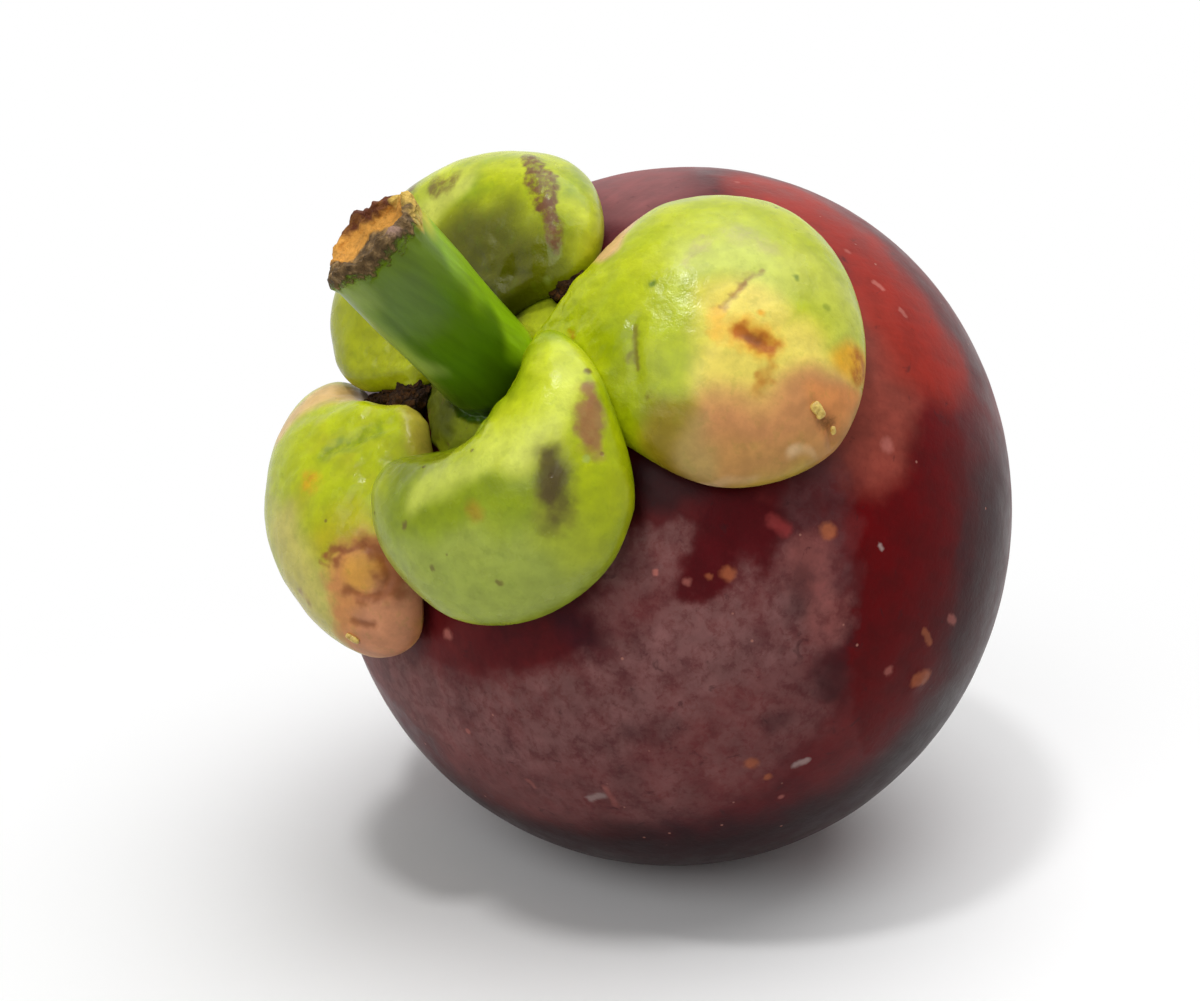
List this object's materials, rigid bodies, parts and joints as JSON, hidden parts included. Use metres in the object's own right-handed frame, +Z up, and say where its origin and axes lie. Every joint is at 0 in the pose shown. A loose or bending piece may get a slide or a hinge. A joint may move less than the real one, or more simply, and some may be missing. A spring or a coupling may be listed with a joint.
{
  "type": "mangosteen",
  "caption": "Whole ripe mangosteen lying on its side, with its green sepals, short cut stem and blossom-end rosette.",
  "frame": {"origin": "centre of the small flat the fruit rests on", "axes": "+Z up, away from the surface it lies on; the stem points up and leans towards -X and -Y"},
  "size_m": [0.0627, 0.0626, 0.0618],
  "materials": {
    "rind": "satin",
    "stem": "satin",
    "sepal": "satin",
    "dry_scab": "matte"
  },
  "bodies": {
    "root": {"rind": "rind", "stem": "stem", "sepal_front": "sepal", "sepal_right": "sepal", "sepal_back": "sepal", "sepal_left": "sepal", "petal_scab_right": "dry_scab", "petal_scab_left": "dry_scab", "stigma": "dry_scab"}
  },
  "joints": []
}
